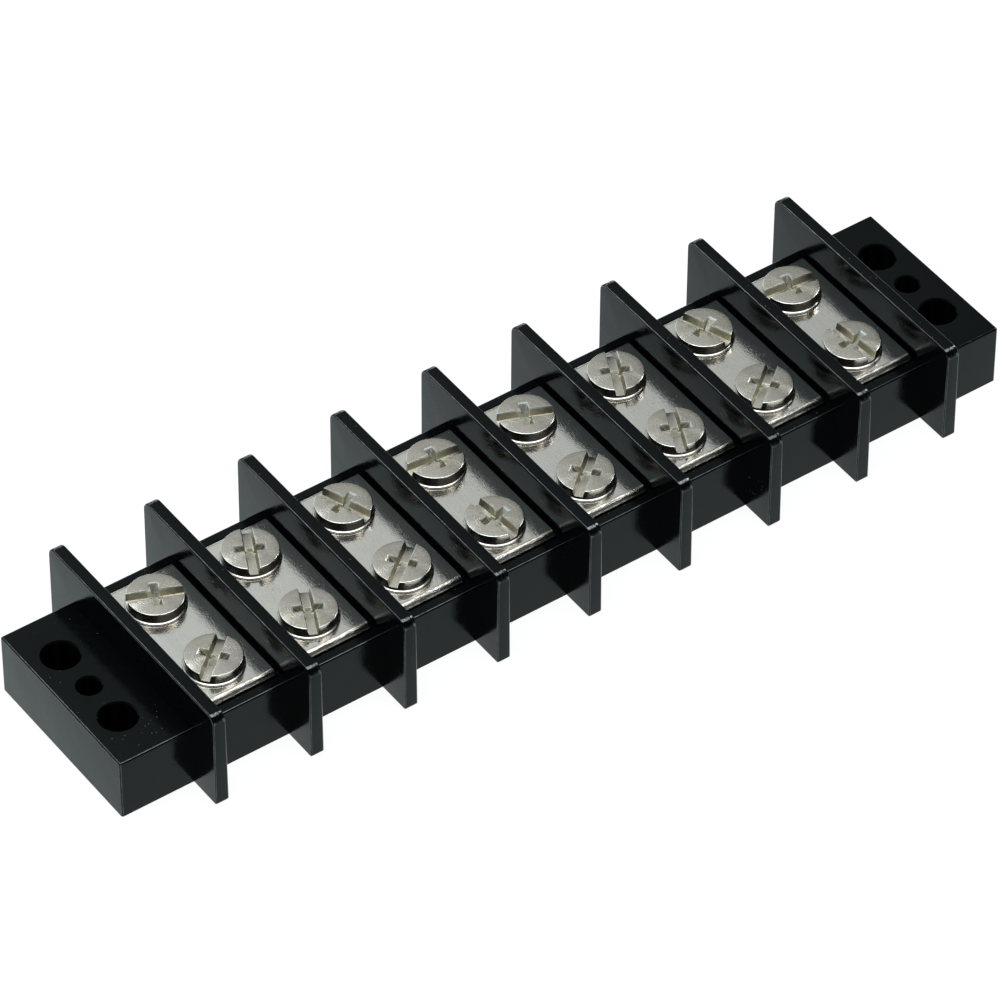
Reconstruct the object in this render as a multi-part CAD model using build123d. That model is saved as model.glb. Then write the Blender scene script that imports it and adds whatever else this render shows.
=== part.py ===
from build123d import *
import os

# Double-row barrier terminal block. All sizes are in millimetres.
# X runs along the strip, Y across it, Z up. The origin is the middle of the base.

# Strip
positions = 8
pitch = 14.29
deck_width = 27.4
deck_height = 9.3
deck_edge = 0.3
ear_length = 10.6

# Barriers between the positions
barrier_width = 37.5
barrier_height = 15.1
barrier_foot_thickness = 2.0
barrier_top_thickness = 1.85
barrier_top_corner = 1.3
barrier_foot_corner = 0.3
barrier_edge = 0.22

# Mounting holes in the ears
mount_hole_diameter = 4.95
pilot_hole_diameter = 3.2
mount_hole_spacing = 13.1
mount_hole_edge = 0.2
mount_hole_from_barrier = 7.15

# Terminal plates
plate_thickness = 0.8
plate_length = 24.0
plate_side_gap = 0.45
plate_leg = 4.5
bend_inner_radius = 0.25
plate_edge = 0.12
leg_tip_taper = 0.6
collar_wall = 0.65
collar_drop = 1.5

# Terminal screws
screw_spacing = 13.1
shank_diameter = 4.0
shank_length = 6.35
shank_tip = 0.45
head_foot_diameter = 8.04
head_foot_height = 0.28
head_foot_edge = 0.1
head_wall_diameter = 7.74
head_rim_diameter = 7.6
head_height = 1.75
head_crown = 0.12
head_rim_edge = 0.14
slot_width = 1.65
slot_floor_width = 1.05
slot_depth = 1.0
cross_span = 4.25
cross_width = 1.15
cross_floor_span = 1.4
cross_floor_width = 0.75
cross_depth = 1.45

# Clearances
thread_clearance = 0.05
well_clearance = 0.3
well_floor_clearance = 0.75
leg_slot_clearance = 0.3
leg_slot_side_clearance = 0.15
leg_slot_floor_clearance = 0.4

# The way each slot points, in degrees from the strip, one position after another
slot_angles_back = (157, 64, 110, 174)
slot_angles_front = (40, 65, 38, 95)

strip_span = positions * pitch
first_barrier = -strip_span / 2
deck_length = strip_span + barrier_foot_thickness + 2 * ear_length
plate_width = pitch - barrier_foot_thickness - 2 * plate_side_gap
plate_top = deck_height + plate_thickness
bend_outer_radius = bend_inner_radius + plate_thickness
tapped_radius = shank_diameter / 2 + thread_clearance
collar_radius = tapped_radius + collar_wall
hole_x = strip_span / 2 + mount_hole_from_barrier


def barrier():
    """One barrier fin, standing on the base plane with its middle at X = 0."""
    outline = Plane.YZ * Pos(0, barrier_height / 2) * Rectangle(barrier_width, barrier_height)
    slab = extrude(outline, barrier_foot_thickness / 2, both=True)
    upright = slab.edges().filter_by(Axis.X)
    slab = fillet(upright.group_by(Axis.Z)[-1], barrier_top_corner)
    upright = slab.edges().filter_by(Axis.X)
    slab = fillet(upright.group_by(Axis.Z)[0], barrier_foot_corner)
    half_foot = barrier_foot_thickness / 2
    half_top = barrier_top_thickness / 2
    section = Plane.XZ * Polygon(
        (-half_foot, 0),
        (half_foot, 0),
        (half_top, barrier_height),
        (-half_top, barrier_height),
        align=None,
    )
    fin = slab & extrude(section, barrier_width, both=True)
    sides = fin.faces().sort_by(SortBy.AREA)[-2:]
    return fillet(sides.edges(), barrier_edge)


def deck():
    """The body between the barriers, with its two ears."""
    block = Pos(0, 0, deck_height / 2) * Box(deck_length, deck_width, deck_height)
    block = fillet(block.edges().filter_by(Axis.Z), deck_edge)
    top = block.faces().sort_by(Axis.Z)[-1]
    return fillet(top.edges(), deck_edge)


def ear_holes():
    """The through holes of both ears, each with a broken upper edge."""
    cuts = []
    for side in (-1, 1):
        for row in (-1, 0, 1):
            radius = (mount_hole_diameter if row else pilot_hole_diameter) / 2
            spot = Pos(side * hole_x, row * mount_hole_spacing / 2, 0)
            cuts.append(spot * Pos(0, 0, deck_height / 2) * Cylinder(radius, 2 * deck_height))
            lip = Cone(radius, radius + 2 * mount_hole_edge, 2 * mount_hole_edge)
            cuts.append(spot * Pos(0, 0, deck_height) * lip)
    return cuts


def position_cuts(x):
    """The screw wells and the leg slots under one terminal plate."""
    cuts = []
    screw_tip = plate_top - shank_length
    well_floor = screw_tip - well_floor_clearance
    well_depth = deck_height - well_floor
    leg_outer = plate_length / 2 + leg_slot_clearance
    leg_inner = plate_length / 2 - plate_thickness - bend_inner_radius
    slot_width_y = leg_outer - leg_inner
    slot_drop = plate_leg + leg_slot_floor_clearance
    for side in (-1, 1):
        well = Cylinder(collar_radius + well_clearance, 2 * well_depth)
        cuts.append(Pos(x, side * screw_spacing / 2, deck_height) * well)
        slot = Box(plate_width + 2 * leg_slot_side_clearance, slot_width_y, 2 * slot_drop)
        cuts.append(Pos(x, side * (leg_outer + leg_inner) / 2, deck_height) * slot)
    return cuts


def housing():
    """The one-piece moulding: deck, ears and barriers."""
    fins = [Pos(first_barrier + i * pitch, 0, 0) * barrier() for i in range(positions + 1)]
    body = deck() + fins
    cuts = ear_holes()
    for i in range(positions):
        cuts += position_cuts(first_barrier + (i + 0.5) * pitch)
    return body - cuts


def terminal_plate():
    """A folded plate with a leg at each end and two drawn, tapped collars."""
    height = plate_thickness + plate_leg
    outer = Pos(0, -height / 2) * Rectangle(plate_length, height)
    outer = fillet(outer.vertices().group_by(Axis.Y)[-1], bend_outer_radius)
    inner_length = plate_length - 2 * plate_thickness
    inner = Pos(0, -plate_thickness - plate_leg) * Rectangle(inner_length, 2 * plate_leg)
    inner = fillet(inner.vertices().group_by(Axis.Y)[-1], bend_inner_radius)
    section = Plane.YZ * (outer - inner)
    plate = extrude(section, plate_width / 2, both=True)
    tips = plate.edges().filter_by(Axis.Y).group_by(Axis.Z)[0]
    plate = chamfer(tips, leg_tip_taper)
    skin = plate.faces().filter_by(Plane.XY).sort_by(Axis.Z)[-1]
    plate = fillet(skin.edges().filter_by(Axis.Y), plate_edge)
    drop = plate_thickness + collar_drop
    from_below = (Align.CENTER, Align.CENTER, Align.MIN)
    for side in (-1, 1):
        spot = Pos(0, side * screw_spacing / 2, 0)
        plate += spot * Pos(0, 0, -drop) * Cylinder(collar_radius, drop - plate_edge, align=from_below)
        plate -= spot * Cylinder(tapped_radius, 4 * drop)
    return Pos(0, 0, plate_top) * plate


def screw_blank():
    """The screw as turned, with a lip round the foot of its head."""
    shank = shank_diameter / 2
    foot = head_foot_diameter / 2
    rim = head_rim_diameter / 2
    profile = Plane.XZ * Polygon(
        (0, head_height + head_crown),
        (0, -shank_length),
        (shank - shank_tip, -shank_length),
        (shank, shank_tip - shank_length),
        (shank, 0),
        (foot - head_foot_edge, 0),
        (foot, head_foot_edge),
        (foot, head_foot_height - head_foot_edge),
        (foot - head_foot_edge, head_foot_height),
        (head_wall_diameter / 2, head_foot_height),
        (rim, head_height - head_rim_edge),
        (rim - head_rim_edge, head_height),
        align=None,
    )
    return revolve(profile, axis=Axis.Z)


def terminal_screw():
    """A pan screw with a combination slot and cross, seated at Z = 0."""
    crown = head_height + head_crown
    slot_floor = head_height - slot_depth
    slot = Plane.YZ * Polygon(
        (-slot_floor_width / 2, slot_floor),
        (slot_floor_width / 2, slot_floor),
        (slot_width / 2, crown),
        (-slot_width / 2, crown),
        align=None,
    )
    cutter = extrude(slot, head_foot_diameter, both=True)
    for turn in (0, 90):
        mouth = Pos(0, 0, crown) * Rectangle(cross_span, cross_width)
        floor = Pos(0, 0, crown - cross_depth) * Rectangle(cross_floor_span, cross_floor_width)
        cutter += Rot(0, 0, turn) * loft([floor, mouth], ruled=True)
    return screw_blank() - cutter


def save(shape, name):
    """Write one piece to its own file."""
    export_step(shape, f"parts/{name}.step")


os.makedirs("parts", exist_ok=True)
save(housing(), "housing")
plate_shape = terminal_plate()
screw_shape = terminal_screw()
for number in range(1, positions + 1):
    x = first_barrier + (number - 0.5) * pitch
    save(Pos(x, 0, 0) * plate_shape, f"terminal_plate_{number}")
    for row, side, angles in (
        ("back", 1, slot_angles_back),
        ("front", -1, slot_angles_front),
    ):
        turn = angles[(number - 1) % len(angles)]
        seat = Pos(x, side * screw_spacing / 2, plate_top)
        save(seat * Rot(0, 0, turn) * screw_shape, f"screw_{row}_{number}")
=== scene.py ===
import math

import bmesh
import bpy
from mathutils import Matrix, Vector


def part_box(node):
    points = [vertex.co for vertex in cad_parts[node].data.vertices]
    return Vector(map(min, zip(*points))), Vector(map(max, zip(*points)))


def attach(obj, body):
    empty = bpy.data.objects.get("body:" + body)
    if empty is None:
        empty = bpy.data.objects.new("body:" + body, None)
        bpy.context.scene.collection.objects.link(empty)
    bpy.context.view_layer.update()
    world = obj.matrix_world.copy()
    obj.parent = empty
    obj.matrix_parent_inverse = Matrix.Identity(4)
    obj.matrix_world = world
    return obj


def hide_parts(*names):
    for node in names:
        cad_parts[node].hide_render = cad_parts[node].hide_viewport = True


# A black barrier strip on a white sweep: eight folded plates and sixteen clamp screws.
# All lengths are in metres, and all noise scales are per metre, unless a name says otherwise.

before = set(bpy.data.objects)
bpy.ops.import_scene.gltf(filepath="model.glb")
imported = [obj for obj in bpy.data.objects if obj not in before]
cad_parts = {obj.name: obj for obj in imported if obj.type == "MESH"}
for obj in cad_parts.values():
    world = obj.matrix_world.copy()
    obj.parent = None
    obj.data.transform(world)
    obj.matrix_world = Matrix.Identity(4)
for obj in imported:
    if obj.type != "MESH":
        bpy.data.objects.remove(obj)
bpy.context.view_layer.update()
MM = 0.001

# Screws in each row, and the ways their slots point, in degrees from the strip, over and over
POSITIONS = 8
SLOT_ANGLES = {"back": (157, 64, 110, 174), "front": (40, 65, 38, 95)}

# Screw head, as seated at the origin with the plate's top at Z = 0
HEAD_HEIGHT = 1.75 * MM
HEAD_CROWN = 0.12 * MM
HEAD_BASE_RADIUS = 4.02 * MM
HEAD_RADIUS = 3.8 * MM
RIM_ROUND = 0.16 * MM
FOOT_HEIGHT = 0.28 * MM
FOOT_ROUND = 0.12 * MM
WALL_FROM_FOOT = 0.05 * MM
HEAD_SEGMENTS = 96
CROWN_RINGS = (0.35, 0.65, 0.85)
RIM_TURNS = range(90, 0, -17)
FOOT_TURNS = range(80, -81, -20)

# Slot and cross recess: the length and width of each mouth and floor, and the depths
SLOT_MOUTH = (4 * HEAD_BASE_RADIUS, 1.65 * MM)
SLOT_FLOOR = (4 * HEAD_BASE_RADIUS, 1.05 * MM)
SLOT_DEPTH = 1.0 * MM
CROSS_MOUTH = (4.25 * MM, 1.15 * MM)
CROSS_FLOOR = (1.4 * MM, 0.75 * MM)
CROSS_DEPTH = 1.45 * MM
CUTTER_RISE = 0.3 * MM
CUT_EDGE_ROUND = 0.13 * MM
CUT_EDGE_SEGMENTS = 3
CUT_EDGE_ANGLE = math.radians(32)
SCREW_SHARP_ANGLE = math.radians(40)

# Thread, and the blunt tip below it
SHANK_LENGTH = 6.35 * MM
THREAD_PITCH = 0.794 * MM
THREAD_CREST = 1.99 * MM
THREAD_ROOT = 1.6 * MM
THREAD_FLANK = (0.06, 0.44)
THREAD_SEGMENTS = 32
THREAD_ROWS = 65
THREAD_WELD = 0.002 * MM
TIP_STEP = 0.1 * MM

# CAD facets: how near loose corners are joined, and the angle past which an edge stays sharp
FACET_MERGE = 0.001 * MM
FACET_SHARP = 0.6

# Where the finish changes on the moulding and the plates, and over what length
BARRIER_CORNER_FROM = 13.9 * MM
BARRIER_CORNER_FADE = 0.1 * MM
BEND_FROM = 11.1 * MM
BEND_FADE = 0.2 * MM

# Colours of the moulding, the plates and the screws; a pair is mottled from one to the other
BLACK = ((0.0008, 0.0009, 0.0013, 1), (0.002, 0.0022, 0.0028, 1))
BLACK_GLOSS_TINT = (0.84, 0.98, 1.0, 1)
DUST = (0.2, 0.2, 0.19, 1)
# Edge colour of the moulding: some wear, and a painted highlight along the rounded edges
WORN_AND_HIGHLIT_BLACK = (0.05, 0.052, 0.055, 1)
PLATING = ((0.757, 0.705, 0.655, 1), (0.853, 0.795, 0.737, 1))
PIT = (0.13, 0.12, 0.1, 1)
# Brown on the plates' bends: partly exposed brass, partly a painted reflection
BEND_BRASS_AND_REFLECTION = (0.36, 0.29, 0.21, 1)
HEAD_METAL = ((0.55, 0.495, 0.43, 1), (0.66, 0.6, 0.525, 1))
# Painted shade inside the screws' slot and cross recess
RECESS_SHADE = (0.40, 0.37, 0.275, 1)
# Painted dark reflection on the screw heads' sides
WALL_SHADE = (0.27, 0.235, 0.2, 1)
# Bare metal on worn edges, also used as a painted highlight on the screws' lips, foot ring and
# edges
WORN_METAL_AND_HIGHLIGHT = (0.95, 0.93, 0.88, 1)

# Roughness of each finish, from its glossiest spots to its dullest
BLACK_ROUGHNESS = (0.10, 0.16)
PLATE_ROUGHNESS = (0.1, 0.15)
HEAD_ROUGHNESS = (0.16, 0.24)

# The middle of a noise's range, where most of it lies
NOISE_SPREAD = (0.3, 0.7)

# Noise in the finishes: scale, detail and roughness
NOISES = {
    "black cloud": (90.0, 3.0, 0.5),
    "black gloss": (240.0, 4.0, 0.65),
    "dust drifts": (80.0, 2.0, 0.5),
    "broken edges": (900.0, 4.0, 0.7),
    "flow waves": (170.0, 1.0, 0.5),
    "cast skin": (1300.0, 4.0, 0.7),
    "cast grain": (5200.0, 3.0, 0.5),
    "tool strokes": (2600.0, 2.0, 0.6),
    "plating cloud": (700.0, 4.0, 0.6),
    "plating gloss": (3000.0, 4.0, 0.7),
    "rolled lines": (4200.0, 3.0, 0.6),
    "rolled grain": (3600.0, 3.0, 0.7),
    "bend streaks": (5200.0, 3.0, 0.65),
    "head cloud": (2300.0, 4.0, 0.7),
    "head gloss": (2600.0, 4.0, 0.7),
    "recess shade patches": (2000.0, 3.0, 0.6),
    "wall bands": (2600.0, 3.0, 0.6),
}

# Bumps in the finishes: strength and depth
BUMPS = {
    "flow waves": (0.10, 0.5 * MM),
    "cast skin": (0.16, 0.08 * MM),
    "cast grain": (0.15, 0.02 * MM),
    "black scratches": (0.12, 0.02 * MM),
    "tool strokes": (1.0, 0.2 * MM),
    "dust": (0.4, 0.04 * MM),
    "rolled lines": (0.3, 0.03 * MM),
    "rolled grain": (0.4, 0.03 * MM),
    "plating scratches": (0.15, 0.02 * MM),
    "bend streaks": (0.5, 0.08 * MM),
    "pits": (-0.4, 0.03 * MM),
    "head scratches": (0.12, 0.02 * MM),
}

# The heads' own bumps: their strength outside the recesses and inside them, and their depth
HEAD_UNEVENNESS = (0.05, 0.6)
HEAD_UNEVEN_DEPTH = 0.03 * MM

# The room as a light: how bright it is on the pale side, round this way, and on the dim one
ROOM_PALE_SIDE = (-0.2, 0.6, 0.775)
ROOM_FADE = (0.6, 0.92)
ROOM_PALE = 0.84
ROOM_DIM = 0.11
ROOM_COLOUR = (0.9, 0.985, 0.99, 1)
ROOM_LEFT_COLOUR = (0.73, 0.93, 0.99, 1)
ROOM_LEFT_FADE = (-0.5, 0.35)
WHITE = (1, 1, 1, 1)

# Lamps: where each one stands, its length and width, and its power in watts
LAMPS = {
    "overhead": ((-0.05, -0.12, 1.0), (1.25, 0.5), 5.8),
    "rim": ((0.0, 0.6, 0.81), (0.22, 0.12), 0.42),
    "side": ((0.8, 0.12, 0.6), (0.32, 0.32), 2.5),
}
LAMP_AIM = (0, 0, 8 * MM)

# The floor: its half size, the half length and width that the strip covers, and its light, with
# painted shade where the strip covers it
FLOOR_REACH = 3.0
COVERED = (68.7 * MM, 13.6 * MM)
PAPER = (0.8, 0.8, 0.8, 1)
PAPER_PAINTED_SHADE = (0.01, 0.01, 0.01, 1)
GLOW_MIRRORED = (0.955, 1.055, 1.05, 1)
GLOW_STRENGTH = 1.16
GLOW_SHARE = 0.8

# The photograph's own view, fitted to the strip's corners, with its angles in degrees
VIEW_ANGLES = (-35.394, 43.954, 0.055)
VIEW_DISTANCE = 0.9003
VIEW_CENTRE = Vector((-3.1686, -2.1554, 9.0)) * MM
LENS_PIXELS = 7039.0
PHOTO_PIXELS = 1000
SENSOR_MM = 36

SQUARE = ((-1, -1), (1, -1), (1, 1), (-1, 1))
FLOAT, VECTOR, GEOMETRY = "NodeSocketFloat", "NodeSocketVector", "NodeSocketGeometry"


# Node helpers

def fill(tree, node, sockets):
    """Sets a node's inputs, or links them where the value is another node's output."""
    for name, value in dict(sockets).items():
        if isinstance(value, bpy.types.NodeSocket):
            tree.links.new(value, node.inputs[name])
        else:
            node.inputs[name].default_value = value


def put(tree, kind, sockets=(), **settings):
    """One node, with its settings and its inputs."""
    node = tree.nodes.new(kind)
    for name, value in settings.items():
        setattr(node, name, value)
    fill(tree, node, sockets)
    return node


def math_node(tree, operation, *values):
    """The result of one sum on numbers or sockets, repeated for more than two of them."""
    result = put(tree, "ShaderNodeMath", enumerate(values[:2]), operation=operation).outputs[0]
    for value in values[2:]:
        sockets = {0: result, 1: value}
        result = put(tree, "ShaderNodeMath", sockets, operation=operation).outputs[0]
    return result


def product(tree, *values):
    """Numbers or sockets multiplied."""
    return math_node(tree, "MULTIPLY", *values)


def total(tree, *values):
    """Numbers or sockets added."""
    return math_node(tree, "ADD", *values)


def less(tree, first, second):
    """The first number or socket with the second taken away."""
    return math_node(tree, "SUBTRACT", first, second)


def vector_node(tree, operation, *values, output="Vector"):
    """The result of one vector sum."""
    node = put(tree, "ShaderNodeVectorMath", enumerate(values), operation=operation)
    return node.outputs[output]


def split(tree, vector):
    """The three parts of a vector."""
    return put(tree, "ShaderNodeSeparateXYZ", {"Vector": vector}).outputs


def combined(tree, **parts):
    """A vector of the parts X, Y and Z that are given, and 0 for the others."""
    return put(tree, "ShaderNodeCombineXYZ", parts).outputs[0]


def from_axis(tree, place):
    """The way out from the Z axis to a place, and how far it is."""
    x, y, _ = split(tree, place)
    flat = combined(tree, X=x, Y=y)
    return flat, vector_node(tree, "LENGTH", flat, output="Value")


def coordinates(tree, kind):
    """Blender's texture coordinates of one kind."""
    return tree.nodes.new("ShaderNodeTexCoord").outputs[kind]


def surface(tree, kind):
    """One of Blender's facts on the shaded spot, such as its normal."""
    return tree.nodes.new("ShaderNodeNewGeometry").outputs[kind]


def stretched(tree, place, scale):
    """A place with its axes scaled, so that noise in it runs out in streaks."""
    return put(tree, "ShaderNodeMapping", {"Vector": place, "Scale": scale}).outputs[0]


def ranged(tree, value, given, wanted=(0.0, 1.0)):
    """A value carried from one range to another and held inside it."""
    sockets = {"Value": value, "From Min": given[0], "From Max": given[1],
               "To Min": wanted[0], "To Max": wanted[1]}
    return put(tree, "ShaderNodeMapRange", sockets).outputs["Result"]


def mixed(tree, share, first, second):
    """A colour between two colours."""
    return put(tree, "ShaderNodeMix", {0: share, 6: first, 7: second}, data_type="RGBA").outputs[2]


def mixed_shaders(tree, share, first, second):
    """A shader between two shaders."""
    return put(tree, "ShaderNodeMixShader", {"Fac": share, 1: first, 2: second}).outputs[0]


def noise(tree, place, scale, detail, roughness):
    """Soft noise from 0 to 1 at a place."""
    sockets = {"Vector": place, "Scale": scale, "Detail": detail, "Roughness": roughness}
    return put(tree, "ShaderNodeTexNoise", sockets).outputs["Fac"]


def named_noise(tree, place, name):
    """One of the finishes' noises at a place."""
    return noise(tree, place, *NOISES[name])


def bumped(tree, height, strength, depth, normal=None):
    """A normal bent by a height, over the surface's own normal or another one."""
    sockets = {"Height": height, "Strength": strength, "Distance": depth}
    if normal is not None:
        sockets["Normal"] = normal
    return put(tree, "ShaderNodeBump", sockets).outputs["Normal"]


def group(name, inputs, outputs, kind="ShaderNodeTree"):
    """An empty node group with named sockets, and its two end nodes."""
    tree = bpy.data.node_groups.new(name, kind)
    for label, socket_type, value in inputs:
        socket = tree.interface.new_socket(label, in_out="INPUT", socket_type=socket_type)
        if value is not None:
            socket.default_value = value
    for label, socket_type in outputs:
        tree.interface.new_socket(label, in_out="OUTPUT", socket_type=socket_type)
    return tree, tree.nodes.new("NodeGroupInput"), tree.nodes.new("NodeGroupOutput")


def use(tree, shared, sockets):
    """The outputs of one use of a shared group in a material."""
    return put(tree, "ShaderNodeGroup", sockets, node_tree=shared).outputs


# Effects shared by the materials

def scratch_group():
    """Fine crossing scratches: a height from 0 to 1, deepest in a few long lines."""
    tree, given, result = group(
        "fine_scratches",
        [("Place", VECTOR, None), ("Lines per metre", FLOAT, 900.0), ("Share", FLOAT, 0.3),
         ("Stretch", FLOAT, 12.0)],
        [("Height", FLOAT), ("Mask", FLOAT)],
    )
    place = given.outputs["Place"]
    lines = []
    for angle in (0.4, 1.9, 2.9):
        turned = put(tree, "ShaderNodeVectorRotate", {"Vector": place, "Angle": angle},
                     rotation_type="Z_AXIS")
        x, y, z = split(tree, turned.outputs[0])
        drawn_out = combined(
            tree, X=math_node(tree, "DIVIDE", x, given.outputs["Stretch"]), Y=y, Z=z)
        value = noise(tree, drawn_out, given.outputs["Lines per metre"], 2.0, 0.6)
        off_line = math_node(tree, "ABSOLUTE", less(tree, value, 0.5))
        lines.append(ranged(tree, off_line, (0.018, 0.0)))
    most = math_node(tree, "MAXIMUM", *lines)
    patch = noise(tree, place, 260.0, 1.0, 0.5)
    gate = math_node(tree, "LESS_THAN", patch, given.outputs["Share"])
    softened = product(tree, most, gate, ranged(tree, patch, (0.62, 0.5)))
    fill(tree, result, {"Mask": softened, "Height": less(tree, 1.0, softened)})
    return tree


def speck_group():
    """Small scattered specks, such as dust or pits: a mask of round dots."""
    tree, given, result = group(
        "specks",
        [("Place", VECTOR, None), ("Cells per metre", FLOAT, 500.0), ("Size", FLOAT, 0.12),
         ("Share", FLOAT, 0.2)],
        [("Mask", FLOAT)],
    )
    cells = put(tree, "ShaderNodeTexVoronoi",
                {"Vector": given.outputs["Place"], "Scale": given.outputs["Cells per metre"]})
    dot = math_node(tree, "LESS_THAN", cells.outputs["Distance"], given.outputs["Size"])
    chance = put(tree, "ShaderNodeSeparateColor", {"Color": cells.outputs["Color"]})
    kept = math_node(tree, "LESS_THAN", chance.outputs[0], given.outputs["Share"])
    fill(tree, result, {"Mask": product(tree, dot, kept)})
    return tree


def edge_group():
    """How far a place lies on a rounded edge, from 0 to 1, broken up by noise: a mask for edge
    wear and for painted edge highlights.
    """
    tree, given, result = group(
        "edge_wear_and_highlight",
        [("Place", VECTOR, None), ("Width", FLOAT, 0.3 * MM), ("Break up", FLOAT, 1500.0)],
        [("Mask", FLOAT)],
    )
    rounded = put(tree, "ShaderNodeBevel", {"Radius": given.outputs["Width"]}, samples=6)
    agree = vector_node(tree, "DOT_PRODUCT", rounded.outputs[0], surface(tree, "Normal"),
                        output="Value")
    broken = noise(tree, given.outputs["Place"], given.outputs["Break up"], 3.0, 0.7)
    worn_and_lit_edge = product(tree, ranged(tree, agree, (0.995, 0.85)), ranged(tree, broken, (0.35, 0.65)))
    fill(tree, result, {"Mask": worn_and_lit_edge})
    return tree


def turned_group():
    """Turning marks on a lathe-cut face: the normal tilts in and out ring by ring."""
    tree, given, result = group(
        "turning_marks",
        [("Place", VECTOR, None), ("Rings per metre", FLOAT, 6000.0), ("Tilt", FLOAT, 0.2)],
        [("Normal", VECTOR)],
    )
    flat, reach = from_axis(tree, given.outputs["Place"])
    rings = product(tree, reach, given.outputs["Rings per metre"])
    ring = put(tree, "ShaderNodeTexNoise", {"W": rings, "Scale": 1.0, "Detail": 2.0},
               noise_dimensions="1D").outputs["Fac"]
    lean = product(tree, less(tree, ring, 0.5), given.outputs["Tilt"])
    outward = vector_node(tree, "NORMALIZE", flat)
    leaning = put(tree, "ShaderNodeVectorMath", {0: outward, "Scale": lean}, operation="SCALE")
    tilted = vector_node(tree, "ADD", surface(tree, "Normal"), leaning.outputs[0])
    fill(tree, result, {"Normal": vector_node(tree, "NORMALIZE", tilted)})
    return tree


def rounding_group():
    """Where a square-built solid is rounded, from 0 on its flats to 1 on its broken edges.

    Corner is 1 on the barriers' rounded top corners. Lower corner is 1 on what has no lean
    along the strip and looks more outward than up, as those corners do lower down."""
    tree, given, result = group("broken_edges", [("Place", VECTOR, None)],
                                [("Mask", FLOAT), ("Corner", FLOAT), ("Lower corner", FLOAT)])
    facing = split(tree, coordinates(tree, "Normal"))
    sizes = [math_node(tree, "ABSOLUTE", part) for part in facing]
    widest = math_node(tree, "MAXIMUM", *sizes)
    off_flat = ranged(tree, widest, (0.99, 0.975))
    rounded = product(tree, off_flat, ranged(tree, widest, (0.84, 0.89)))
    less_upright = ranged(tree, sizes[2], (0.1, 0.3), (0.45, 0.7))
    height = split(tree, given.outputs["Place"])[2]
    high = ranged(tree, height, (BARRIER_CORNER_FROM, BARRIER_CORNER_FROM + BARRIER_CORNER_FADE))
    endways = ranged(tree, sizes[0], (0.1, 0.05))
    low = ranged(tree, facing[2], (0.75, 0.6))
    fill(tree, result, {"Mask": product(tree, rounded, less_upright),
                        "Corner": product(tree, high, endways, off_flat),
                        "Lower corner": product(tree, endways, low)})
    return tree


scratches, specks = scratch_group(), speck_group()
edge_wear_and_highlight, turning_marks, broken_edges = edge_group(), turned_group(), rounding_group()


# Materials

def material(name):
    """A new node material, its tree and its shader."""
    made = bpy.data.materials.new(name)
    made.use_nodes = True
    return made, made.node_tree, made.node_tree.nodes["Principled BSDF"]


def black_moulding():
    """Glossy black thermoset: nearly mirror smooth, with flow waves, dust, and rubbed edges
    lightened as a painted highlight.
    """
    made, tree, shader = material("black_moulding")
    place = coordinates(tree, "Object")

    base = mixed(tree, named_noise(tree, place, "black cloud"), *BLACK)
    dots = use(tree, specks, {"Place": place, "Cells per metre": 2000.0, "Size": 0.15,
                              "Share": 0.22})["Mask"]
    gathered = ranged(tree, named_noise(tree, place, "dust drifts"), (0.5, 0.62), (0.04, 1.0))
    near_side = math_node(tree, "LESS_THAN", split(tree, coordinates(tree, "Normal"))[1], -0.5)
    dust = product(tree, dots, gathered, less(tree, 1.0, near_side))
    dusty = mixed(tree, product(tree, dust, 0.6), base, DUST)
    # Rounded edges are lightened and given a shiny coat: partly wear, partly a painted highlight
    # line along the fillets.
    edges = use(tree, broken_edges, {"Place": place})
    broken = ranged(tree, named_noise(tree, place, "broken edges"), (0.3, 0.6), (0.35, 1.0))
    wear_and_highlight = product(tree, edges["Mask"], broken, less(tree, 1.0, edges["Lower corner"]))
    paled = mixed(tree, product(tree, wear_and_highlight, 0.25), dusty, WORN_AND_HIGHLIT_BLACK)

    marks = use(tree, scratches, {"Place": place, "Lines per metre": 520.0, "Share": 0.52,
                                  "Stretch": 14.0})
    gloss = ranged(tree, named_noise(tree, place, "black gloss"), NOISE_SPREAD, BLACK_ROUGHNESS)
    dulled = total(tree, gloss, product(tree, marks["Mask"], 0.1), product(tree, dust, 0.4))

    normal = None
    for layer in ("flow waves", "cast skin", "cast grain"):
        normal = bumped(tree, named_noise(tree, place, layer), *BUMPS[layer], normal)
    scored = bumped(tree, marks["Height"], *BUMPS["black scratches"], normal)
    strokes = named_noise(tree, stretched(tree, place, (1.0, 0.12, 0.12)), "tool strokes")
    strokes = product(tree, strokes, edges["Corner"])
    tooled = bumped(tree, strokes, *BUMPS["tool strokes"], scored)

    fill(tree, shader, {
        "Base Color": paled, "Roughness": dulled,
        "IOR": 1.24, "Specular Tint": BLACK_GLOSS_TINT,
        "Normal": bumped(tree, dust, *BUMPS["dust"], tooled), "Coat Normal": tooled,
        "Coat Weight": wear_and_highlight, "Coat Roughness": 0.1, "Coat IOR": 2.3,
    })
    return made


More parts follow.
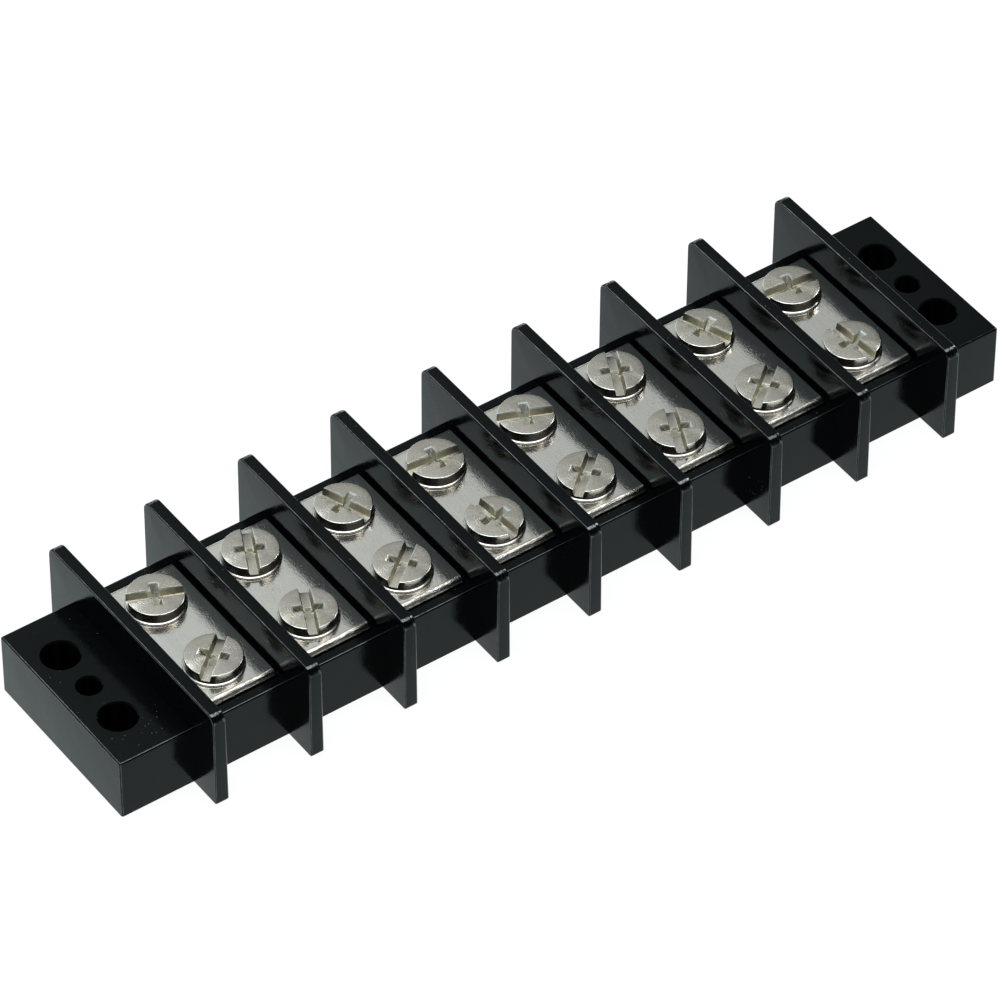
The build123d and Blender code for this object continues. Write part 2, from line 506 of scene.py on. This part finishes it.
def rolled_plate():
    """Nickel plating on rolled strip: a soft sheen with a mottled grain, pits, edges lightened
    partly as a painted highlight, and dull brown streaks on the bends that are partly exposed
    brass and partly a painted reflection.
    """
    made, tree, shader = material("nickel_plate")
    place = coordinates(tree, "Object")

    base = mixed(tree, named_noise(tree, place, "plating cloud"), *PLATING)
    pits = use(tree, specks, {"Place": place, "Cells per metre": 1500.0, "Size": 0.14,
                              "Share": 0.10})["Mask"]
    pitted = mixed(tree, product(tree, pits, 0.5), base, PIT)
    # The bends get brown streaks: partly exposed brass, partly a painted reflection.
    across = math_node(tree, "ABSOLUTE", split(tree, place)[1])
    bend = ranged(tree, across, (BEND_FROM, BEND_FROM + BEND_FADE))
    streaks = named_noise(tree, stretched(tree, place, (0.1, 1.0, 1.0)), "bend streaks")
    bend_brass_and_reflection = product(tree, bend, ranged(tree, streaks, (0.42, 0.6), (0.0, 0.7)))
    warmed = mixed(tree, bend_brass_and_reflection, pitted, BEND_BRASS_AND_REFLECTION)
    # Edges are lightened toward bare metal: partly wear, partly a painted highlight.
    worn_and_lit_edge = use(tree, edge_wear_and_highlight, {"Place": place, "Width": 0.16 * MM, "Break up": 2600.0})["Mask"]
    bright = mixed(tree, product(tree, worn_and_lit_edge, 0.5), warmed, WORN_METAL_AND_HIGHLIGHT)

    gloss = named_noise(tree, place, "plating gloss")
    mottled = ranged(tree, gloss, NOISE_SPREAD, PLATE_ROUGHNESS)

    rolled = named_noise(tree, stretched(tree, place, (1.0, 0.22, 1.0)), "rolled lines")
    rolled = bumped(tree, rolled, *BUMPS["rolled lines"])
    grain = named_noise(tree, place, "rolled grain")
    grained = bumped(tree, grain, *BUMPS["rolled grain"], rolled)
    marks = use(tree, scratches, {"Place": place, "Lines per metre": 1100.0, "Share": 0.5,
                                  "Stretch": 10.0})
    scored = bumped(tree, marks["Height"], *BUMPS["plating scratches"], grained)
    strained = bumped(tree, product(tree, streaks, bend), *BUMPS["bend streaks"], scored)

    fill(tree, shader, {
        "Base Color": bright, "Metallic": 1.0,
        "Roughness": total(tree, mottled, product(tree, pits, 0.3)),
        "Normal": bumped(tree, pits, *BUMPS["pits"], strained),
    })
    return made


def turned_screw():
    """Nickel on a turned steel head: ring marks above, sides painted dark as a reflection, painted
    olive shade in the cuts, and painted highlights on the lips, foot and worn edges.
    """
    made, tree, shader = material("nickel_screw")
    own = put(tree, "ShaderNodeAttribute", attribute_name="own_place").outputs["Vector"]
    height = split(tree, own)[2]
    upward = split(tree, surface(tree, "Normal"))[2]
    reach = from_axis(tree, own)[1]

    inside = ranged(tree, reach, (HEAD_RADIUS - 0.05 * MM, HEAD_RADIUS - 0.15 * MM))
    outside = less(tree, 1.0, inside)
    steep = ranged(tree, upward, (0.9, 0.6))
    deep = ranged(tree, height, (HEAD_HEIGHT - 1.02 * MM, HEAD_HEIGHT - 1.1 * MM))
    recess = product(tree, inside, math_node(tree, "MAXIMUM", steep, deep))
    above_foot = ranged(tree, height, (FOOT_HEIGHT - 0.02 * MM, FOOT_HEIGHT + 0.06 * MM))
    wall = product(tree, outside, ranged(tree, upward, (0.3, 0.05)), above_foot)
    # The foot ring and the lips of the cuts are painted bright as a highlight.
    foot_highlight = product(tree, outside, less(tree, 1.0, above_foot))
    near_top = ranged(tree, height, (HEAD_HEIGHT - 0.16 * MM, HEAD_HEIGHT - 0.06 * MM))
    lip_highlight = product(tree, near_top, ranged(tree, upward, (0.97, 0.9)))
    top = ranged(tree, height, (HEAD_HEIGHT - 0.02 * MM, HEAD_HEIGHT))

    cloud = ranged(tree, named_noise(tree, own, "head cloud"), NOISE_SPREAD)
    base = mixed(tree, cloud, *HEAD_METAL)
    # The walls and deep floor of the cuts are painted darker olive as shade, in patches.
    shade_patches = ranged(tree, named_noise(tree, own, "recess shade patches"), (0.35, 0.65), (0.35, 1.0))
    shaded = mixed(tree, product(tree, recess, shade_patches), base, RECESS_SHADE)
    # The heads' sides are painted darker in streaks, as a painted reflection of the dark
    # surroundings.
    bands = named_noise(tree, stretched(tree, own, (0.3, 0.3, 1.0)), "wall bands")
    bands = ranged(tree, bands, (0.62, 0.4), (0.45, 1.0))
    sided = mixed(tree, product(tree, wall, bands), shaded, WALL_SHADE)
    # Edges are lightened toward bare metal: partly wear, partly a painted highlight; the foot and
    # lips join them as painted highlight.
    worn_and_lit_edge = use(tree, edge_wear_and_highlight, {"Place": own, "Width": 0.2 * MM, "Break up": 1500.0})["Mask"]
    wear_and_highlight = math_node(tree, "MAXIMUM", worn_and_lit_edge, product(tree, foot_highlight, 0.3), lip_highlight)
    bright = mixed(tree, wear_and_highlight, sided, WORN_METAL_AND_HIGHLIGHT)

    mottle = named_noise(tree, own, "head gloss")
    rough = total(tree, ranged(tree, mottle, NOISE_SPREAD, HEAD_ROUGHNESS),
                  product(tree, top, 0.05), product(tree, worn_and_lit_edge, 0.3),
                  product(tree, recess, 0.16), product(tree, wall, -0.05))

    rings = use(tree, turning_marks, {"Place": own, "Rings per metre": 6000.0,
                                      "Tilt": product(tree, top, 0.24)})["Normal"]
    uneven = ranged(tree, recess, (0.0, 1.0), HEAD_UNEVENNESS)
    fine = bumped(tree, mottle, uneven, HEAD_UNEVEN_DEPTH, rings)
    marks = use(tree, scratches, {"Place": own, "Lines per metre": 1500.0, "Share": 0.5,
                                  "Stretch": 8.0})
    around = put(tree, "ShaderNodeTangent", direction_type="RADIAL", axis="Z").outputs[0]

    fill(tree, shader, {
        "Base Color": bright, "Metallic": 1.0, "Roughness": rough,
        "Normal": bumped(tree, marks["Height"], *BUMPS["head scratches"], fine),
        "Anisotropic": product(tree, top, 0.8), "Anisotropic Rotation": 0.25, "Tangent": around,
    })
    return made


moulding_finish, plate_finish, screw_finish = black_moulding(), rolled_plate(), turned_screw()


# The moulding and the plates keep their CAD solids

def smoothing_tree():
    """Joins a solid's loose facets and smooths all but its sharp edges."""
    tree, given, result = group(
        "joined_and_smooth",
        [("Geometry", GEOMETRY, None), ("Merge", FLOAT, FACET_MERGE),
         ("Sharp", FLOAT, FACET_SHARP)],
        [("Geometry", GEOMETRY)], "GeometryNodeTree",
    )
    tree.is_modifier = True
    joined = put(tree, "GeometryNodeMergeByDistance",
                 {"Geometry": given.outputs["Geometry"], "Distance": given.outputs["Merge"]})
    angle = tree.nodes.new("GeometryNodeInputMeshEdgeAngle").outputs["Unsigned Angle"]
    sharp = put(tree, "FunctionNodeCompare", {0: angle, 1: given.outputs["Sharp"]},
                data_type="FLOAT", operation="GREATER_THAN")
    blunt = put(tree, "FunctionNodeBooleanMath", {0: sharp.outputs[0]}, operation="NOT")
    faces = put(tree, "GeometryNodeSetShadeSmooth",
                {"Geometry": joined.outputs[0], "Shade Smooth": True}, domain="FACE")
    edges = put(tree, "GeometryNodeSetShadeSmooth",
                {"Geometry": faces.outputs[0], "Shade Smooth": blunt.outputs[0]}, domain="EDGE")
    fill(tree, result, {"Geometry": edges.outputs[0]})
    return tree


smoothing = smoothing_tree()


def dress(node, finish):
    """Gives a CAD node its finish and smooth facets."""
    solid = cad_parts[node]
    solid.data.materials.clear()
    solid.data.materials.append(finish)
    solid.modifiers.new("joined_and_smooth", "NODES").node_group = smoothing


dress("housing", moulding_finish)
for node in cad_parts:
    if node.startswith("terminal_plate"):
        dress(node, plate_finish)


# Screws

def placed(name, data):
    """A new object in the scene."""
    made = bpy.data.objects.new(name, data)
    bpy.context.scene.collection.objects.link(made)
    return made


def mesh_object(mesh, name):
    """An object of a finished bmesh, in the scene."""
    data = bpy.data.meshes.new(name)
    mesh.to_mesh(data)
    mesh.free()
    return placed(name, data)


def baked(thing, name):
    """A plain mesh of an object as its modifiers leave it."""
    graph = bpy.context.evaluated_depsgraph_get()
    whole = bpy.data.meshes.new_from_object(thing.evaluated_get(graph))
    whole.name = name
    return whole


def spun_head():
    """The head as turned, before it is slotted: a profile spun round Z."""
    profile = [(0, HEAD_HEIGHT + HEAD_CROWN)]
    for share in CROWN_RINGS:
        profile.append(((HEAD_RADIUS - RIM_ROUND) * share,
                        HEAD_HEIGHT + HEAD_CROWN * (1 - share ** 2)))
    for degrees in RIM_TURNS:
        turn = math.radians(degrees)
        profile.append((HEAD_RADIUS - RIM_ROUND * (1 - math.cos(turn)),
                        HEAD_HEIGHT - RIM_ROUND * (1 - math.sin(turn))))
    profile.append((HEAD_RADIUS, FOOT_HEIGHT + WALL_FROM_FOOT))
    for degrees in FOOT_TURNS:
        turn = math.radians(degrees)
        middle = FOOT_HEIGHT - FOOT_ROUND if degrees > 0 else FOOT_ROUND
        profile.append((HEAD_BASE_RADIUS - FOOT_ROUND * (1 - math.cos(turn)),
                        middle + FOOT_ROUND * math.sin(turn)))
    profile.append((0, 0))
    mesh = bmesh.new()
    verts = [mesh.verts.new((radius, 0, height)) for radius, height in profile]
    edges = [mesh.edges.new(pair) for pair in zip(verts, verts[1:])]
    bmesh.ops.spin(mesh, geom=verts + edges, cent=(0, 0, 0), axis=(0, 0, 1),
                   angle=2 * math.pi, steps=HEAD_SEGMENTS, use_duplicate=False)
    bmesh.ops.remove_doubles(mesh, verts=mesh.verts, dist=1e-7)
    bmesh.ops.recalc_face_normals(mesh, faces=mesh.faces)
    return mesh_object(mesh, "head_blank")


def wedge(name, mouth, floor, top, bottom, turn=0.0):
    """A cutter with a wide mouth and a narrower floor, turned about Z."""
    mesh = bmesh.new()
    rings = []
    for (length, width), height in ((floor, bottom), (mouth, top)):
        ring = [Vector((x * length / 2, y * width / 2, height)) for x, y in SQUARE]
        cos, sin = math.cos(turn), math.sin(turn)
        rings.append([mesh.verts.new((p.x * cos - p.y * sin, p.x * sin + p.y * cos, p.z))
                      for p in ring])
    low, high = rings
    mesh.faces.new(low[::-1])
    mesh.faces.new(high)
    for i in range(4):
        mesh.faces.new((low[i], low[(i + 1) % 4], high[(i + 1) % 4], high[i]))
    bmesh.ops.recalc_face_normals(mesh, faces=mesh.faces)
    return mesh_object(mesh, name)


def widened(mouth, floor, depth):
    """The mouth's size where the cutter ends above the head, along the same slanting walls."""
    return tuple(m + (m - f) * CUTTER_RISE / depth for m, f in zip(mouth, floor))


def slotted_head():
    """The head with its slot and its cross recess, and all cut edges rounded."""
    head = spun_head()
    crown = HEAD_HEIGHT + HEAD_CROWN
    top = crown + CUTTER_RISE
    cutters = [wedge("slot", widened(SLOT_MOUTH, SLOT_FLOOR, SLOT_DEPTH + HEAD_CROWN),
                     SLOT_FLOOR, top, HEAD_HEIGHT - SLOT_DEPTH)]
    for turn in (0.0, math.pi / 2):
        cutters.append(wedge("cross", widened(CROSS_MOUTH, CROSS_FLOOR, CROSS_DEPTH),
                             CROSS_FLOOR, top, crown - CROSS_DEPTH, turn))
    for cutter in cutters:
        cut = head.modifiers.new("cut", "BOOLEAN")
        cut.operation, cut.solver, cut.object = "DIFFERENCE", "EXACT", cutter
    rounded = head.modifiers.new("round", "BEVEL")
    rounded.limit_method, rounded.angle_limit = "ANGLE", CUT_EDGE_ANGLE
    rounded.width, rounded.segments = CUT_EDGE_ROUND, CUT_EDGE_SEGMENTS
    whole = baked(head, "slotted_head")
    for gone in cutters + [head]:
        bpy.data.objects.remove(gone)
    return placed("slotted_head", whole)


def together(tree, *pieces):
    """Several geometries as one."""
    joined = tree.nodes.new("GeometryNodeJoinGeometry")
    for piece in pieces:
        tree.links.new(piece, joined.inputs[0])
    return joined.outputs[0]


def screw_tree():
    """A threaded shank below a given head, turned and set down on its seat."""
    tree, given, result = group(
        "terminal_screw",
        [("Head", "NodeSocketObject", None), ("Finish", "NodeSocketMaterial", None),
         ("Seat", VECTOR, None), ("Turn", FLOAT, 0.0), ("Pitch", FLOAT, THREAD_PITCH),
         ("Crest", FLOAT, THREAD_CREST), ("Root", FLOAT, THREAD_ROOT),
         ("Length", FLOAT, SHANK_LENGTH)],
        [("Screw", GEOMETRY)], "GeometryNodeTree",
    )
    tree.is_modifier = True
    value = given.outputs
    here = tree.nodes.new("GeometryNodeInputPosition").outputs[0]

    # A flat sheet is wound round Z, and its ridges run on from one turn to the next
    sheet = put(tree, "GeometryNodeMeshGrid",
                {"Size X": 1.0, "Size Y": 1.0,
                 "Vertices X": THREAD_SEGMENTS + 1, "Vertices Y": THREAD_ROWS + 1})
    x, y, _ = split(tree, here)
    share = total(tree, x, 0.5)
    down = product(tree, total(tree, y, 0.5), value["Length"])
    turns = math_node(tree, "DIVIDE", down, value["Pitch"])
    ramp = math_node(tree, "FRACT", total(tree, turns, share))
    peak = math_node(tree, "ABSOLUTE", less(tree, ramp, 0.5))
    depth = less(tree, value["Crest"], value["Root"])
    ridge = total(tree, value["Root"], product(tree, depth, ranged(tree, peak, THREAD_FLANK)))
    tip_radius = less(tree, value["Root"], TIP_STEP)
    nose = total(tree, tip_radius, less(tree, value["Length"], down))
    radius = math_node(tree, "MINIMUM", ridge, nose)
    angle = product(tree, share, 2 * math.pi)
    point = combined(tree, X=product(tree, radius, math_node(tree, "COSINE", angle)),
                     Y=product(tree, radius, math_node(tree, "SINE", angle)),
                     Z=product(tree, down, -1.0))
    wound = put(tree, "GeometryNodeSetPosition",
                {"Geometry": sheet.outputs["Mesh"], "Position": point})

    # The tip closes the wound sheet, and the head stands on it
    tip = put(tree, "GeometryNodeMeshCircle",
              {"Vertices": THREAD_SEGMENTS, "Radius": tip_radius}, fill_type="NGON")
    low = combined(tree, Z=product(tree, value["Length"], -1.0))
    lowered = put(tree, "GeometryNodeTransform", {"Geometry": tip.outputs[0], "Translation": low})
    closed = put(tree, "GeometryNodeFlipFaces", {"Mesh": lowered.outputs[0]})
    welded = put(tree, "GeometryNodeMergeByDistance",
                 {"Geometry": together(tree, wound.outputs[0], closed.outputs[0]),
                  "Distance": THREAD_WELD})
    head = put(tree, "GeometryNodeObjectInfo", {"Object": value["Head"]})
    whole = together(tree, welded.outputs[0], head.outputs["Geometry"])

    # Each point keeps its place on the screw, for the finish, and then goes to the seat
    turned = put(tree, "GeometryNodeTransform",
                 {"Geometry": whole, "Rotation": combined(tree, Z=value["Turn"])})
    kept = put(tree, "GeometryNodeStoreNamedAttribute",
               {"Geometry": turned.outputs[0], "Name": "own_place", "Value": here},
               data_type="FLOAT_VECTOR", domain="POINT")
    seated = put(tree, "GeometryNodeTransform",
                 {"Geometry": kept.outputs[0], "Translation": value["Seat"]})
    real = put(tree, "GeometryNodeRealizeInstances", {"Geometry": seated.outputs[0]})
    finished = put(tree, "GeometryNodeSetMaterial",
                   {"Geometry": real.outputs[0], "Material": value["Finish"]})
    fill(tree, result, {"Screw": finished.outputs[0]})
    return tree


def drive_in(node, tree, head, degrees):
    """One screw on its own seat, made a plain mesh that stands for its CAD solid."""
    low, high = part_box(node)
    seat = ((low[0] + high[0]) / 2, (low[1] + high[1]) / 2, low[2] + SHANK_LENGTH)
    source = placed("screw_source", bpy.data.meshes.new("screw_source"))
    driver = source.modifiers.new("terminal_screw", "NODES")
    driver.node_group = tree
    wanted = {"Head": head, "Finish": screw_finish, "Seat": seat, "Turn": math.radians(degrees)}
    for item in tree.interface.items_tree:
        if item.name in wanted:
            driver[item.identifier] = wanted[item.name]
    source.update_tag()
    bpy.context.view_layer.update()
    whole = baked(source, "turned_" + node)
    bpy.data.objects.remove(source)
    whole.shade_smooth()
    whole.set_sharp_from_angle(angle=SCREW_SHARP_ANGLE)
    screw = placed("turned_" + node, whole)
    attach(screw, node)
    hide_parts(node)


def all_screws():
    """All sixteen screws."""
    head = slotted_head()
    tree = screw_tree()
    for row, angles in SLOT_ANGLES.items():
        for place in range(POSITIONS):
            drive_in(f"screw_{row}_{place + 1}", tree, head, angles[place % len(angles)])
    bpy.data.objects.remove(head)


all_screws()


# The white sweep, the light and the camera

def beneath(tree):
    """1 on the floor that the strip covers, else 0."""
    place = split(tree, vector_node(tree, "ABSOLUTE", coordinates(tree, "Object")))
    inside = [math_node(tree, "LESS_THAN", place[axis], reach)
              for axis, reach in enumerate(COVERED)]
    return product(tree, *inside)


def sweep():
    """A white floor that keeps a faint shadow of the strip, is painted dark as shade where the
    strip covers it, and is see-through from below.
    """
    mesh = bmesh.new()
    mesh.faces.new([mesh.verts.new((x * FLOOR_REACH, y * FLOOR_REACH, 0)) for x, y in SQUARE])
    floor = mesh_object(mesh, "white_floor")
    made, tree, shader = material("white_floor")
    tree.nodes.remove(shader)
    ray = tree.nodes.new("ShaderNodeLightPath").outputs
    covered = beneath(tree)
    # Under the strip the floor is painted near black as shade, and does not glow.
    paper = put(tree, "ShaderNodeBsdfDiffuse",
                {"Color": mixed(tree, covered, PAPER, PAPER_PAINTED_SHADE)}).outputs[0]
    glow = put(tree, "ShaderNodeEmission",
               {"Color": mixed(tree, ray["Is Glossy Ray"], WHITE, GLOW_MIRRORED),
                "Strength": GLOW_STRENGTH}).outputs[0]
    looked_at = math_node(tree, "MAXIMUM", ray["Is Camera Ray"], ray["Is Transmission Ray"],
                          ray["Is Glossy Ray"])
    glowing = product(tree, looked_at, less(tree, 1.0, covered))
    seen = mixed_shaders(tree, glowing, paper, mixed_shaders(tree, GLOW_SHARE, paper, glow))
    clear = tree.nodes.new("ShaderNodeBsdfTransparent").outputs[0]
    one_sided = mixed_shaders(tree, surface(tree, "Backfacing"), seen, clear)
    fill(tree, tree.nodes["Material Output"], {"Surface": one_sided})
    floor.data.materials.append(made)


def surround():
    """A room pale beyond the strip, dim on the camera's side, and white where it is looked at."""
    world = bpy.data.worlds.new("pale_room")
    bpy.context.scene.world = world
    world.use_nodes = True
    tree = world.node_tree
    way = coordinates(tree, "Generated")
    beyond = vector_node(tree, "DOT_PRODUCT", way, ROOM_PALE_SIDE, output="Value")
    level = ranged(tree, beyond, ROOM_FADE, (ROOM_DIM, ROOM_PALE))
    rightward = ranged(tree, split(tree, way)[0], ROOM_LEFT_FADE)
    walls = mixed(tree, rightward, ROOM_LEFT_COLOUR, ROOM_COLOUR)
    seen = tree.nodes.new("ShaderNodeLightPath").outputs["Is Camera Ray"]
    fill(tree, tree.nodes["Background"], {"Color": mixed(tree, seen, walls, WHITE),
                                          "Strength": math_node(tree, "MAXIMUM", level, seen)})


def softbox(name, place, size, power):
    """A rectangular area lamp that looks at the strip."""
    lamp = bpy.data.lights.new(name, "AREA")
    lamp.shape, lamp.size, lamp.size_y = "RECTANGLE", *size
    lamp.energy, lamp.color = power, ROOM_COLOUR[:3]
    holder = placed(name, lamp)
    holder.location = place
    holder.rotation_mode = "QUATERNION"
    holder.rotation_quaternion = (Vector(place) - Vector(LAMP_AIM)).to_track_quat("Z", "Y")


def camera():
    """The camera of the photograph's own view."""
    azimuth, elevation, roll = (math.radians(degrees) for degrees in VIEW_ANGLES)
    back = Vector((math.sin(azimuth) * math.cos(elevation),
                   -math.cos(azimuth) * math.cos(elevation), math.sin(elevation)))
    right = Vector((math.cos(azimuth), math.sin(azimuth), 0))
    rolled = math.cos(roll) * right + math.sin(roll) * back.cross(right)
    lens = bpy.data.cameras.new("photo_view")
    lens.lens = LENS_PIXELS * SENSOR_MM / PHOTO_PIXELS
    lens.sensor_width = SENSOR_MM
    viewer = placed("photo_view", lens)
    viewer.rotation_mode = "QUATERNION"
    facing = Matrix((rolled, back.cross(rolled), back)).transposed()
    viewer.rotation_quaternion = facing.to_quaternion()
    viewer.location = back * VIEW_DISTANCE + VIEW_CENTRE
    bpy.context.scene.camera = viewer


sweep()
surround()
for name, (place, size, power) in LAMPS.items():
    softbox(name, place, size, power)
camera()
bpy.context.scene.view_settings.view_transform = "Standard"
